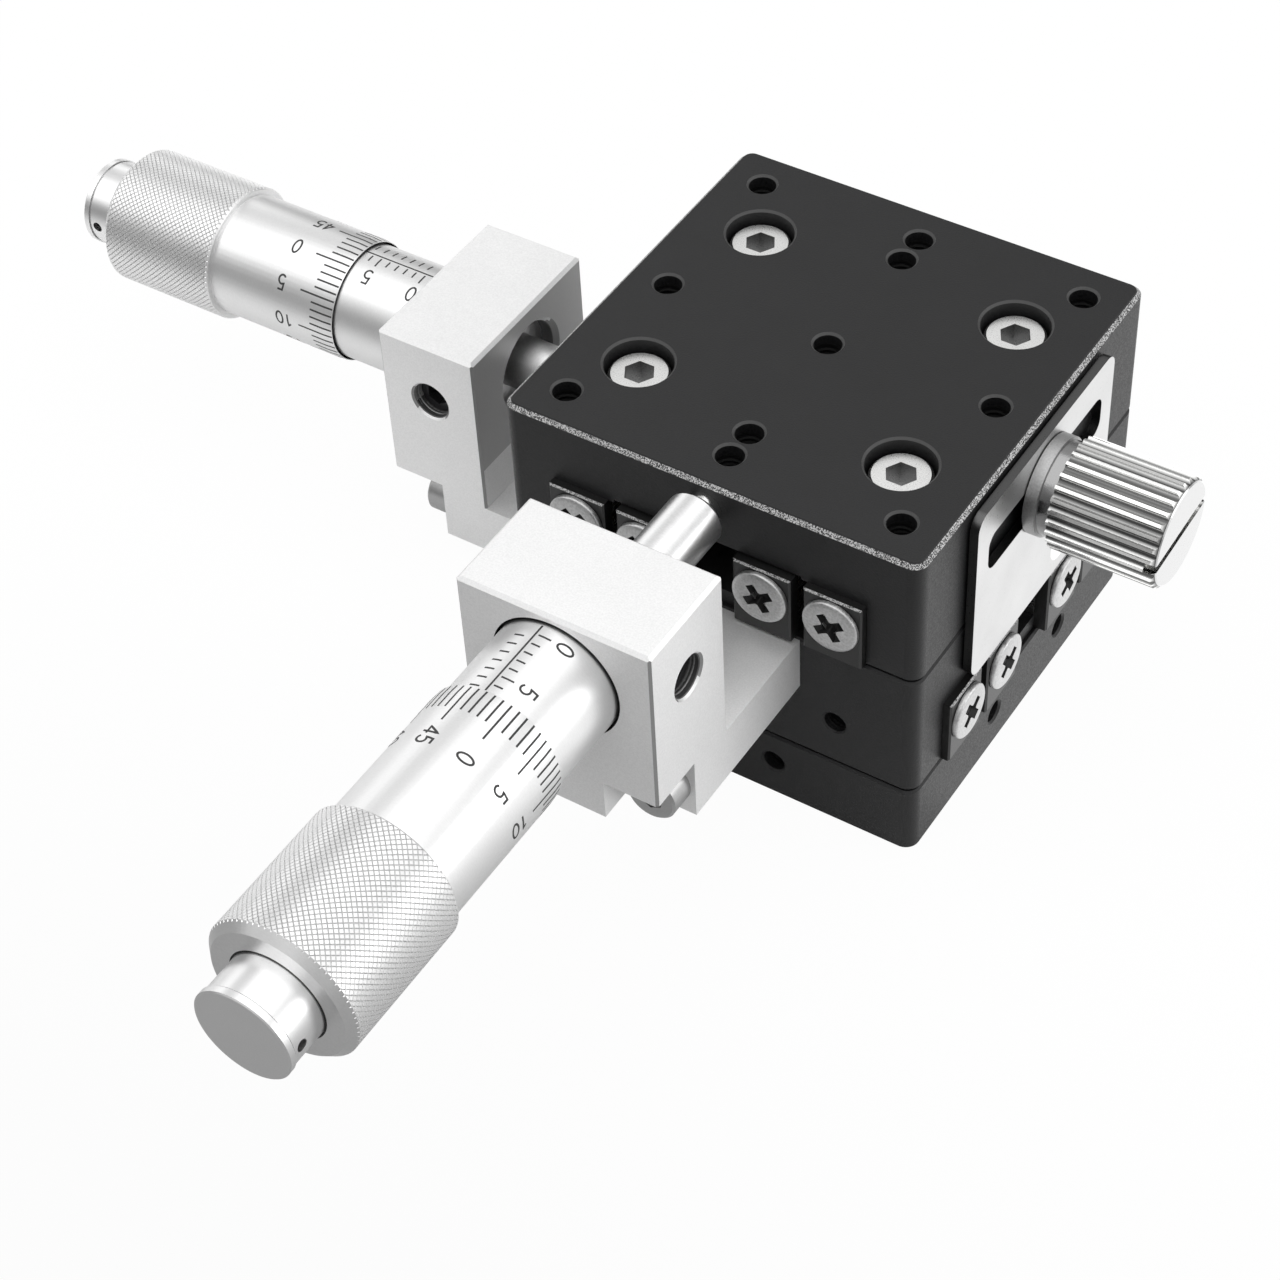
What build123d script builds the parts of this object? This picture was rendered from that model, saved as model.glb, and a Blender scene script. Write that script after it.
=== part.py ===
from build123d import *
import math
import os

# Manual XY stage: two crossed-roller slides stacked at right angles, each driven by a
# micrometer head on an L-shaped bracket and locked by a slotted clamp plate with a fluted knob.
# Millimetres. Origin at the centre of the base's underside, +Z up.
# The upper slide travels along Y and its micrometer points to -Y.
# The lower slide is the same unit, turned and one layer lower: it travels along X.

# Stack of plates
stage_side = 40.0
layer_pitch = 13.55
base_thickness = 7.4
deck_thickness = 6.45
parting_gap = 0.25
corner_radius = 1.3
top_chamfer = 0.45
parting_chamfer = 0.2

# Travel and running fits
travel = 6.5
fit_gap = 0.05
press_gap = 0.01
tip_gap = 0.02

# Crossed-roller guides
rail_width = 5.5
rail_height = 5.55
rail_end_inset = 0.5
rail_inset = 2.95
rail_gap = 1.2
rail_wall_gap = 0.05
roller_diameter = 2.0
roller_length = 1.8
roller_gap = 0.04
roller_pitch = 3.0
cage_thickness = 0.5
cage_height = 4.2
cage_end_margin = 1.4
cage_end_gap = 1.85
window_gap = 0.08
relief_depth = 0.3

# Guide fasteners
outer_screw_y = 10.0
outer_screw_from_back = 2.5
inner_screw_pitch = 11.3
inner_screw_from_back = 2.4
counterbore_radius = 3.05
counterbore_chamfer = 0.2
counterbore_depth = 4.15
inner_counterbore_radius = 2.0
inner_counterbore_depth = 2.2
inner_thread_depth = 3.5
outer_thread_depth = 3.9
screw_end_gap = 0.4
end_plate_thickness = 1.3
end_plate_edge = 0.16
end_screw_head_radius = 2.58
end_screw_head_height = 0.9
end_screw_radius = 0.95
end_screw_length = 4.5
end_screw_edge = 0.2
recess_reach = 1.15
recess_width = 0.27
recess_depth = 0.65
preload_radius = 1.0
preload_length = 3.2
preload_socket = 0.9
preload_pitch = 12.25
preload_rise = 0.7
preload_count = 3

# Socket screws, M3, M2.5 and M2: head radius, head height, shank radius, socket across flats
head_edge = 0.09
large_head_radius = 2.72
large_head_height = 3.0
large_shank_radius = 1.45
large_socket = 2.5
large_hole_radius = 1.7
medium_head_radius = 2.3
medium_head_height = 2.5
medium_shank_radius = 1.2
medium_socket = 2.0
medium_hole_radius = 1.4
small_head_radius = 1.9
small_head_height = 2.0
small_shank_radius = 0.95
small_socket = 1.5
small_hole_radius = 1.1
thread_gap = 0.05

# Tapped holes
tap_radius = 1.25
side_tap_radius = 1.05
tap_depth = 4.5
tap_chamfer = 0.2
grid_pitch = 16.0
extra_hole_y = 12.9
base_hole_spacing = 32.0
base_hole_depth = 5.0
side_hole_depth = 5.5
side_hole_height = 4.0
right_hole_shift = 1.1

# Micrometer bracket
bracket_half_width = 8.9
bracket_outer = 42.05
bracket_inner = 31.6
bracket_above_axis = 6.6
bracket_edge = 0.32
bracket_upright_edge = 0.22
foot_thickness = 5.55
foot_drop = 0.13
pocket_reach = 36.6
pocket_top_rise = 0.77
web_half_width = 3.75
web_rise = 2.2
bracket_screw_x = 6.15
bracket_screw_drop = 2.7
bracket_screw_grip = 5.0
exit_bore_radius = 4.2
exit_bore_length = 1.7
exit_chamfer = 0.5
mouth_gap = 0.22
mouth_depth = 0.8
set_screw_radius = 1.8
set_screw_length = 2.0
set_screw_socket = 2.0
set_screw_reach = 36.85

# Micrometer head, stations measured outwards from the stage's centre line
axis_drop = 2.58
sleeve_radius = 5.65
sleeve_end = 61.3
guide_end = 47.0
nut_start = 56.0
nut_end = 61.0
nut_radius = 4.15
spindle_radius = 2.55
spindle_end = 49.2
spindle_chamfer = 0.6
keyway_margin = 0.5
keyway_depth = 0.4
keyway_width = 1.0
key_start = 40.0
key_length = 2.5
key_root = 0.4
screw_radius = 2.05
screw_tip_edge = 0.3
screw_end = 79.0
thimble_start = 50.25
thimble_bevel = 0.97
thimble_bore_radius = 5.72
thimble_lip = 0.06
thimble_mouth_gap = 0.15
thimble_mouth_depth = 0.5
thimble_radius = 6.0
knurl_start = 64.65
knurl_end = 77.7
knurl_radius = 6.65
knurl_front_chamfer = 0.2
knurl_rear_chamfer = 0.7
thimble_wall = 2.5
cap_radius = 4.13
cap_rim_radius = 4.26
cap_end = 81.87
cap_rim = 0.65
cap_groove = 0.13
cap_edge = 0.1
cap_hole_radius = 0.52
cap_hole_inset = 1.55
anvil_radius = 1.6
anvil_length = 2.0
anvil_standing = 1.0

# Clamp plate and knob
plate_half_length = 12.2
plate_drop = 0.97
plate_height = 18.4
plate_thickness = 0.8
plate_pad = 0.2
plate_pad_inset = 1.3
plate_pad_height = 4.85
plate_corner = 1.42
slot_drop = 6.32
slot_width = 3.95
slot_margin = 3.7
slot_corner = 1.2
plate_screw_drop = 2.9
plate_screw_ys = (3.9, 9.0)
plate_screw_head_radius = 1.8
plate_screw_head_height = 0.7
plate_screw_length = 4.5
plate_screw_socket = 1.3
plate_screw_socket_depth = 0.5
washer_radius = 4.5
washer_thickness = 1.1
washer_gap = 0.08
neck_radius = 4.26
neck_length = 1.22
knob_radius = 4.97
knob_length = 9.93
knob_chamfer = 0.45
flute_count = 28
flute_radius = 0.42
flute_standoff = 0.1
knob_slot_width = 0.77
knob_slot_depth = 1.03
knob_slot_turn = 4
stud_radius = 1.45
stud_hole_end = 4.4
stud_tip_gap = 0.4

# Return springs
pin_radius = 0.8
pin_y = 14.5
pin_depth = 1.0
pin_standing = 4.5
spring_radius = 1.7
spring_wire = 0.5
loop_radius = 1.25
spring_rise = 0.2

# Derived places
half_side = stage_side / 2
stack_height = base_thickness + 2 * layer_pitch
carrier_top = stack_height - layer_pitch
ceiling = stack_height - deck_thickness
rail_length = stage_side - 2 * rail_end_inset
rail_bottom = ceiling - rail_height
rail_middle = ceiling - rail_height / 2
inner_rail_x = rail_inset + rail_width / 2
outer_rail_x = rail_inset + 1.5 * rail_width + rail_gap
pedestal_half = rail_inset + rail_width
roller_room = rail_length - travel - 2 * cage_end_gap - 2 * cage_end_margin - roller_diameter
roller_count = 1 + round(roller_room / roller_pitch)
preload_z = rail_middle + preload_rise
cage_x = pedestal_half + rail_gap / 2
channel_half = outer_rail_x + rail_width / 2 + rail_wall_gap
groove_depth = (roller_diameter + roller_gap) / math.sqrt(2) - rail_gap / 2
outer_screw_x = channel_half - rail_wall_gap - outer_screw_from_back
inner_screw_x = rail_inset + inner_screw_from_back
axis_z = stack_height - axis_drop
foot_top = carrier_top - foot_drop
foot_bottom = foot_top - foot_thickness
pocket_top = foot_top + pocket_top_rise
bracket_screw_z = carrier_top - bracket_screw_drop
plate_face = half_side + plate_pad
plate_front = plate_face + plate_thickness
slot_z = stack_height - slot_drop
plate_screw_z = carrier_top - plate_screw_drop
slot_half_length = travel + slot_margin
keyway_start = key_start - travel - keyway_margin
spring_z = rail_middle + spring_rise
lower_place = Pos(0, 0, -layer_pitch) * Rot(0, 0, -90)
half_turn = Rot(0, 0, 180)
nodes = {}


def block(x0, x1, y0, y1, z0, z1):
    """A box between two corners."""
    return Pos((x0 + x1) / 2, (y0 + y1) / 2, (z0 + z1) / 2) * Box(x1 - x0, y1 - y0, z1 - z0)


def rod(start, direction, length, radius):
    """A cylinder that starts at a point and runs along a direction."""
    place = Plane(origin=start, z_dir=direction).location
    return place * Pos(0, 0, length / 2) * Cylinder(radius, length)


def cone_cut(mouth, inward, radius, size):
    """The cutter of a hole's 45 degree mouth chamfer."""
    place = Plane(origin=mouth, z_dir=inward).location
    return place * Pos(0, 0, size / 2) * Cone(radius + size, radius, size)


def tapped_hole(mouth, inward, depth, radius):
    """A blind tapped hole with a chamfered mouth."""
    return rod(mouth, inward, depth, radius) + cone_cut(mouth, inward, radius, tap_chamfer)


def join(solids):
    """Fuse a list of shapes into one."""
    result = solids[0]
    for solid in solids[1:]:
        result = result + solid
    return result


def turned(points, around_y=True):
    """A turned piece from (station, radius) points, its stations measured outwards from the stage."""
    outline = Polyline([(radius, 0, station) for station, radius in points], close=True)
    piece = revolve(make_face(outline), Axis.Z)
    if not around_y:
        return piece
    return Plane(origin=(0, 0, axis_z), z_dir=(0, -1, 0)).location * piece


def solid_list(shape):
    """The solids of a shape, as a list."""
    return list(shape.solids())


def group(shapes):
    """Separate solids held together as one compound."""
    solids = []
    for shape in shapes:
        solids += solid_list(shape)
    return Compound(solids)


# Fasteners, each with its seat at z = 0, the head above it and the shank below
def socket_screw(head_radius, head_height, shank_radius, length, across_flats):
    """A socket head cap screw with a hexagon socket."""
    head = Pos(0, 0, head_height / 2) * Cylinder(head_radius, head_height)
    head = chamfer(head.edges().group_by(Axis.Z)[-1], head_edge * head_radius)
    socket = extrude(RegularPolygon(across_flats / 2, 6, major_radius=False), head_height / 2)
    head = head - Pos(0, 0, head_height / 2) * socket
    return head + Pos(0, 0, -length / 2) * Cylinder(shank_radius, length)


def cross_screw():
    """A low-headed cross-recess screw for an end plate."""
    radius, height = end_screw_head_radius, end_screw_head_height
    arm, width, depth = recess_reach * radius, recess_width * radius, recess_depth * height
    head = Pos(0, 0, height / 2) * Cylinder(radius, height)
    head = chamfer(head.edges().group_by(Axis.Z)[-1], end_screw_edge)
    for turn in (45, 135):
        head = head - Rot(0, 0, turn) * Pos(0, 0, height - depth / 2) * Box(arm, width, depth)
    return head + Pos(0, 0, -end_screw_length / 2) * Cylinder(end_screw_radius, end_screw_length)


def countersunk_screw():
    """A countersunk screw, its face at z = 0."""
    radius, height = plate_screw_head_radius, plate_screw_head_height
    head = Pos(0, 0, -height / 2) * Cone(small_shank_radius, radius, height)
    depth = plate_screw_socket_depth
    socket = extrude(RegularPolygon(plate_screw_socket / 2, 6, major_radius=False), depth)
    shank = Pos(0, 0, -plate_screw_length / 2) * Cylinder(small_shank_radius, plate_screw_length)
    return head + shank - Pos(0, 0, -depth) * socket


def set_screw(radius, length, across_flats):
    """A headless screw, its tip at z = 0 and its socket at the top."""
    body = Pos(0, 0, length / 2) * Cylinder(radius, length)
    socket = extrude(RegularPolygon(across_flats / 2, 6, major_radius=False), length / 2)
    return body - Pos(0, 0, length / 2) * socket


def placed(fastener, seat, outward):
    """A fastener on its seat, its head pointing outwards."""
    return Plane(origin=seat, z_dir=outward).location * fastener


# Plates of the stack
def plate_body(bottom, top, upper_edge):
    """A square plate with rounded corners and broken edges."""
    body = block(-half_side, half_side, -half_side, half_side, bottom, top)
    body = fillet(body.edges().filter_by(Axis.Z), corner_radius)
    body = chamfer(body.edges().group_by(Axis.Z)[-1], upper_edge)
    return chamfer(body.edges().group_by(Axis.Z)[0], parting_chamfer)


def outer_screw_places():
    """Where the outer rails are bolted, from above, in the upper slide's frame."""
    return [(sx * outer_screw_x, sy * outer_screw_y) for sx in (-1, 1) for sy in (-1, 1)]


def inner_screw_places():
    """Where the inner rails are bolted down, in the upper slide's frame."""
    return [(sx * inner_screw_x, row * inner_screw_pitch) for sx in (-1, 1) for row in (-1, 0, 1)]


def slide_cuts():
    """All that is cut from the moving plate of a slide, in the upper slide's frame."""
    reach = half_side + 1
    cuts = [block(-channel_half, channel_half, -reach, reach, carrier_top - 1, ceiling)]
    cuts.append(block(-cage_x, cage_x, -reach, reach, ceiling - 1, ceiling + relief_depth))
    for x, y in outer_screw_places():
        cuts.append(rod((x, y, stack_height + 1), (0, 0, -1), stack_height + 2 - ceiling,
                        large_hole_radius))
        cuts.append(rod((x, y, stack_height), (0, 0, -1), counterbore_depth, counterbore_radius))
        cuts.append(cone_cut((x, y, stack_height), (0, 0, -1), counterbore_radius, counterbore_chamfer))
    cuts.append(rod((0, -half_side, axis_z), (0, 1, 0), anvil_length, anvil_radius + press_gap))
    cuts.append(rod((0, pin_y, ceiling), (0, 0, 1), relief_depth + pin_depth, pin_radius + press_gap))
    return join(cuts)


def preload_cuts():
    """The threaded holes of the preload screws, in the wall opposite the clamp."""
    cuts = []
    radius = preload_radius + thread_gap
    for y in preload_places():
        cuts.append(rod((-half_side - 1, y, preload_z), (1, 0, 0), half_side, radius))
        cuts.append(cone_cut((-half_side, y, preload_z), (1, 0, 0), preload_radius, parting_chamfer))
    wall = block(-half_side - 1, -channel_half, -half_side, half_side, carrier_top, stack_height)
    return join(cuts) & wall


def preload_places():
    """The y stations of the preload screws."""
    middle = (preload_count - 1) / 2
    return [(number - middle) * preload_pitch for number in range(preload_count)]


def stud_cut():
    """The threaded hole that the clamp knob's stud screws into."""
    return rod((half_side, 0, slot_z), (-1, 0, 0), stud_hole_end, stud_radius + fit_gap)


def seat_added():
    """The raised land under the inner rails, in the upper slide's frame."""
    reach = rail_length / 2
    return block(-pedestal_half, pedestal_half, -reach, reach, carrier_top - 1, rail_bottom)


def seat_cuts():
    """All that is cut from the plate that carries a slide, in the upper slide's frame."""
    cuts = []
    for x, y in inner_screw_places():
        depth = rail_bottom - carrier_top + inner_thread_depth
        cuts.append(rod((x, y, rail_bottom), (0, 0, -1), depth, small_shank_radius + thread_gap))
    for side in (-1, 1):
        mouth = (side * bracket_screw_x, -half_side, bracket_screw_z)
        cuts.append(rod(mouth, (0, 1, 0), bracket_screw_grip, medium_shank_radius + thread_gap))
    cuts.append(rod((0, -pin_y, rail_bottom), (0, 0, -1), pin_depth, pin_radius + press_gap))
    return join(cuts)


def plate_screw_cuts():
    """The threaded holes of the clamp plate's screws."""
    return join([rod((half_side, y, plate_screw_z), (-1, 0, 0), plate_screw_length,
                     small_shank_radius + thread_gap) for y in plate_screw_ys])


def table_holes():
    """The tapped grid in the table's top."""
    places = [(gx * grid_pitch, gy * grid_pitch) for gx in (-1, 0, 1) for gy in (-1, 0, 1)]
    places += [(0, -extra_hole_y), (0, extra_hole_y)]
    return join([tapped_hole((x, y, stack_height), (0, 0, -1), tap_depth, tap_radius) for x, y in places])


def make_plates():
    """The base, the carriage and the table."""
    table = plate_body(carrier_top + parting_gap, stack_height, top_chamfer)
    nodes["table_plate"] = table - slide_cuts() - preload_cuts() - stud_cut() - table_holes()

    slab = plate_body(base_thickness + parting_gap, carrier_top, parting_chamfer)
    under = slide_cuts() + half_turn * (preload_cuts() + stud_cut())
    carriage = slab - lower_place * under + seat_added()
    nodes["carriage_block"] = carriage - seat_cuts() - plate_screw_cuts()

    base = plate_body(0, base_thickness, parting_chamfer) + lower_place * seat_added()
    base = base - lower_place * (seat_cuts() + half_turn * plate_screw_cuts())
    spread = base_hole_spacing / 2
    for x in (-spread, spread):
        for y in (-spread, spread):
            base = base - tapped_hole((x, y, 0), (0, 0, 1), base_hole_depth, tap_radius)
    for side in (-1, 1):
        offset = side * bracket_screw_x
        front_mouth = (offset, -half_side, side_hole_height)
        right_mouth = (half_side, offset + right_hole_shift, side_hole_height)
        base = base - tapped_hole(front_mouth, (0, 1, 0), side_hole_depth, side_tap_radius)
        base = base - tapped_hole(right_mouth, (-1, 0, 0), side_hole_depth, side_tap_radius)
    nodes["base_plate"] = base


# Crossed-roller guides
def rail(groove_side):
    """One rail about x = 0 with its V groove on one side."""
    half, low, high = rail_width / 2, rail_bottom, ceiling
    groove = [(half, rail_middle + groove_depth), (half - groove_depth, rail_middle),
              (half, rail_middle - groove_depth)]
    outline = [(-half, low), (-half, high), (half, high)] + groove + [(half, low)]
    face = make_face(Polyline([(groove_side * x, 0, z) for x, z in outline], close=True))
    bar = extrude(face, rail_length / 2, dir=(0, 1, 0), both=True)
    for end in (-1, 1):
        hole = rod((0, end * rail_length / 2, rail_middle), (0, -end, 0), end_screw_length,
                   end_screw_radius + thread_gap)
        bar = bar - hole
    return bar


def inner_rails():
    """The two rails bolted down to the lower plate, with counterbored screw holes."""
    bars = []
    for side in (-1, 1):
        bar = Pos(side * inner_rail_x, 0, 0) * rail(side)
        for x, y in inner_screw_places():
            if x * side > 0:
                bar = bar - rod((x, y, ceiling), (0, 0, -1), rail_height, small_hole_radius)
                bar = bar - rod((x, y, ceiling), (0, 0, -1), inner_counterbore_depth,
                                inner_counterbore_radius)
        bars.append(bar)
    return bars


def outer_rails():
    """The two rails bolted up to the moving plate."""
    bars = []
    for side in (-1, 1):
        bar = Pos(side * outer_rail_x, 0, 0) * rail(-side)
        for x, y in outer_screw_places():
            if x * side > 0:
                bar = bar - rod((x, y, ceiling), (0, 0, -1), outer_thread_depth,
                                large_shank_radius + thread_gap)
        bars.append(bar)
    return bars


def roller_ys():
    """The y stations of the rollers in a cage."""
    middle = (roller_count - 1) / 2
    return [(number - middle) * roller_pitch for number in range(roller_count)]


def cages():
    """The two roller cages, thin strips with a window for each roller."""
    length = (roller_count - 1) * roller_pitch + roller_diameter + 2 * cage_end_margin
    window_z = (roller_diameter + roller_length) / math.sqrt(2) + window_gap
    window = Box(2 * cage_thickness, roller_diameter + window_gap, window_z)
    strips = []
    for side in (-1, 1):
        strip = Box(cage_thickness, length, cage_height)
        for y in roller_ys():
            strip = strip - Pos(0, y, 0) * window
        strips.append(Pos(side * cage_x, 0, rail_middle) * strip)
    return group(strips)


def rollers():
    """The rollers, each turned a quarter from its neighbour, between the V grooves."""
    pieces = []
    for side in (-1, 1):
        for number, y in enumerate(roller_ys()):
            tilt = 45 if number % 2 == 0 else -45
            place = Pos(side * cage_x, y, rail_middle) * Rot(0, tilt, 0)
            pieces.append(place * Cylinder((roller_diameter - roller_gap) / 2, roller_length))
    return group(pieces)


def end_plates(x, low, high):
    """The stops on the ends of a pair of rails, with their screws."""
    plates, screws = [], []
    near = rail_length / 2
    far = near + end_plate_thickness
    plate = block(-rail_width / 2, rail_width / 2, near, far, low, high)
    plate = chamfer(plate.faces().sort_by(Axis.Y)[-1].edges(), end_plate_edge)
    plate = plate - rod((0, near, rail_middle), (0, 1, 0), end_plate_thickness,
                        end_screw_radius + thread_gap)
    screw = placed(cross_screw(), (0, far, rail_middle), (0, 1, 0))
    for side in (-1, 1):
        for end_turn in (Pos(0, 0, 0), half_turn):
            place = Pos(side * x, 0, 0) * end_turn
            plates.append(place * plate)
            screws.append(place * screw)
    return group(plates), group(screws)


def make_guide(name, place, turn):
    """One crossed-roller slide: rails, screws, stops, cages, rollers and preload screws."""
    nodes[name + "_inner_rails"] = group([place * bar for bar in inner_rails()])
    nodes[name + "_outer_rails"] = group([place * bar for bar in outer_rails()])
    length = rail_height - inner_counterbore_depth + rail_bottom - carrier_top + inner_thread_depth
    length = length - screw_end_gap
    screw = socket_screw(small_head_radius, small_head_height, small_shank_radius, length, small_socket)
    seat = ceiling - inner_counterbore_depth
    nodes[name + "_inner_rail_screws"] = group(
        [place * placed(screw, (x, y, seat), (0, 0, 1)) for x, y in inner_screw_places()])
    length = deck_thickness - counterbore_depth + outer_thread_depth - screw_end_gap
    screw = socket_screw(large_head_radius, large_head_height, large_shank_radius, length, large_socket)
    seat = stack_height - counterbore_depth
    nodes[name + "_outer_rail_screws"] = group(
        [place * placed(screw, (x, y, seat), (0, 0, 1)) for x, y in outer_screw_places()])
    plates, screws = end_plates(inner_rail_x, carrier_top + fit_gap, ceiling)
    nodes[name + "_inner_end_plates"] = place * plates
    nodes[name + "_inner_end_screws"] = place * screws
    plates, screws = end_plates(outer_rail_x, carrier_top + parting_gap, ceiling)
    nodes[name + "_outer_end_plates"] = place * plates
    nodes[name + "_outer_end_screws"] = place * screws
    nodes[name + "_roller_cages"] = place * cages()
    nodes[name + "_rollers"] = place * rollers()
    tip = -channel_half + rail_wall_gap
    screw = set_screw(preload_radius, preload_length, preload_socket)
    nodes[name + "_preload_screws"] = group(
        [place * turn * placed(screw, (tip, y, preload_z), (-1, 0, 0)) for y in preload_places()])


# Micrometer heads and their brackets
def bracket():
    """The L-shaped bracket: clamp block, foot, two screw pockets and the web between them."""
    top = axis_z + bracket_above_axis
    half = bracket_half_width
    body = block(-half, half, -bracket_outer, -bracket_inner, foot_bottom, top)
    body = body + block(-half, half, -bracket_inner - 1, -half_side, foot_bottom, foot_top)
    for side in (-1, 1):
        inner, outer = side * web_half_width, side * (half + 1)
        body = body - block(min(inner, outer), max(inner, outer), -bracket_outer - 1, -pocket_reach,
                            foot_bottom - 1, pocket_top)
    web_bottom = foot_bottom + web_rise
    body = body - block(-half, half, -bracket_outer - 1, -pocket_reach, foot_bottom - 1, web_bottom)
    body = chamfer(body.faces().sort_by(Axis.Z)[-1].edges(), bracket_edge)
    upright = body.edges().filter_by(Axis.Z).filter_by(lambda edge: edge.length > bracket_above_axis)
    body = chamfer(upright, bracket_upright_edge)
    bore_end = bracket_inner + exit_bore_length
    body = body - rod((0, -bracket_outer - 1, axis_z), (0, 1, 0), bracket_outer + 1 - bore_end,
                      sleeve_radius + fit_gap)
    body = body - rod((0, -bore_end - 1, axis_z), (0, 1, 0), exit_bore_length + 2, exit_bore_radius)
    body = body - cone_cut((0, -bracket_inner, axis_z), (0, -1, 0), exit_bore_radius, exit_chamfer)
    body = body - rod((0, -bracket_outer, axis_z), (0, 1, 0), mouth_depth, sleeve_radius + mouth_gap)
    for side in (-1, 1):
        start = (side * bracket_screw_x, -pocket_reach - 1, bracket_screw_z)
        body = body - rod(start, (0, 1, 0), pocket_reach + 1, medium_hole_radius)
    start = (half + 1, -set_screw_reach, axis_z)
    body = body - rod(start, (-1, 0, 0), half + 1 - sleeve_radius / 2, set_screw_radius + thread_gap)
    mouth = (half, -set_screw_reach, axis_z)
    return body - cone_cut(mouth, (-1, 0, 0), set_screw_radius, bracket_edge)


def sleeve():
    """The fixed barrel of the micrometer head, with the key that stops the spindle turning."""
    start = bracket_inner + exit_bore_length
    bore = spindle_radius + fit_gap
    barrel = turned([(start, bore), (start, sleeve_radius), (sleeve_end, sleeve_radius),
                     (sleeve_end, nut_radius + thread_gap), (guide_end, nut_radius + thread_gap),
                     (guide_end, bore)])
    high = axis_z - spindle_radius + keyway_depth - fit_gap
    half = keyway_width / 2 - fit_gap
    key = block(-half, half, -key_start - key_length, -key_start, axis_z - bore - key_root, high)
    return barrel + key


def spindle():
    """The spindle, which slides and doesn't turn."""
    start = half_side + anvil_standing + tip_gap
    body = turned([(start, 0), (start, spindle_radius - spindle_chamfer),
                   (start + spindle_chamfer, spindle_radius), (spindle_end, spindle_radius),
                   (spindle_end, 0)])
    half = keyway_width / 2
    high = axis_z - spindle_radius + keyway_depth
    return body - block(-half, half, -spindle_end - 1, -keyway_start, axis_z - spindle_radius - 1, high)


def thimble():
    """The thimble: graduated skirt, grip and rear wall."""
    mouth = thimble_bore_radius + thimble_mouth_gap
    wall = knurl_end - thimble_wall
    hub = screw_radius + thread_gap / 2
    return turned([(thimble_start, mouth), (thimble_start, mouth + thimble_lip),
                   (thimble_start + thimble_bevel, thimble_radius), (knurl_start, thimble_radius),
                   (knurl_start, knurl_radius - knurl_front_chamfer),
                   (knurl_start + knurl_front_chamfer, knurl_radius),
                   (knurl_end - knurl_rear_chamfer, knurl_radius),
                   (knurl_end, knurl_radius - knurl_rear_chamfer), (knurl_end, hub), (wall, hub),
                   (wall, thimble_bore_radius), (thimble_start + thimble_mouth_depth, thimble_bore_radius)])


def end_cap():
    """The cap that clamps the thimble to its screw, with a cross hole for a pin."""
    rim = cap_end - cap_rim
    bore = screw_radius + thread_gap / 2
    floor = screw_end + thread_gap
    cap = turned([(knurl_end, bore), (knurl_end, cap_radius), (rim - cap_groove, cap_radius),
                  (rim - cap_groove, cap_radius - cap_groove), (rim, cap_radius - cap_groove),
                  (rim, cap_rim_radius), (cap_end - cap_edge, cap_rim_radius),
                  (cap_end, cap_rim_radius - cap_edge), (cap_end, 0), (floor, 0), (floor, bore)])
    start = (cap_radius + 1, -cap_end + cap_hole_inset, axis_z)
    return cap - rod(start, (-1, 0, 0), 2 * cap_radius + 2, cap_hole_radius)


def make_micrometer(name, place):
    """One micrometer head with its bracket and screws."""
    nodes[name + "_bracket"] = place * bracket()
    length = pocket_reach - half_side + bracket_screw_grip - screw_end_gap
    screw = socket_screw(medium_head_radius, medium_head_height, medium_shank_radius, length,
                         medium_socket)
    nodes[name + "_bracket_screws"] = group(
        [place * placed(screw, (side * bracket_screw_x, -pocket_reach, bracket_screw_z), (0, -1, 0))
         for side in (-1, 1)])
    screw = set_screw(set_screw_radius, set_screw_length, set_screw_socket)
    tip = (sleeve_radius + thread_gap, -set_screw_reach, axis_z)
    nodes[name + "_bracket_set_screw"] = place * placed(screw, tip, (1, 0, 0))
    nodes[name + "_sleeve"] = place * sleeve()
    bore = screw_radius + fit_gap
    nodes[name + "_nut"] = place * turned([(nut_start, bore), (nut_start, nut_radius),
                                           (nut_end, nut_radius), (nut_end, bore)])
    nodes[name + "_spindle"] = place * spindle()
    start = spindle_end + tip_gap
    nodes[name + "_lead_screw"] = place * turned([(start, 0), (start, screw_radius - screw_tip_edge),
                                                  (start + screw_tip_edge, screw_radius),
                                                  (screw_end, screw_radius), (screw_end, 0)])
    nodes[name + "_thimble"] = place * thimble()
    nodes[name + "_end_cap"] = place * end_cap()


# Clamps
def clamp_plate():
    """The slotted plate on the side of a slide, with a thin pad where it is bolted on."""
    top = stack_height - plate_drop
    middle = top - plate_height / 2
    side = Plane(origin=(plate_face, 0, middle), x_dir=(0, 1, 0), z_dir=(1, 0, 0))
    outline = RectangleRounded(2 * plate_half_length, plate_height, plate_corner)
    plate = extrude(side * outline, plate_thickness)
    opening = RectangleRounded(2 * slot_half_length, slot_width, slot_corner)
    slot = side * Pos(0, slot_z - middle) * opening
    plate = plate - extrude(slot, plate_thickness)
    half = plate_half_length - plate_pad_inset
    pad_bottom = plate_screw_z - plate_pad_height / 2
    plate = plate + block(half_side, plate_face, -half, half, pad_bottom, pad_bottom + plate_pad_height)
    for y in plate_screw_ys:
        mouth = (plate_front, y, plate_screw_z)
        plate = plate - rod(mouth, (-1, 0, 0), plate_front - half_side, small_shank_radius + thread_gap)
        place = Plane(origin=mouth, z_dir=(-1, 0, 0)).location
        height = plate_screw_head_height
        cutter = Cone(plate_screw_head_radius, small_shank_radius, height)
        plate = plate - place * Pos(0, 0, height / 2) * cutter
    return plate


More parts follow.
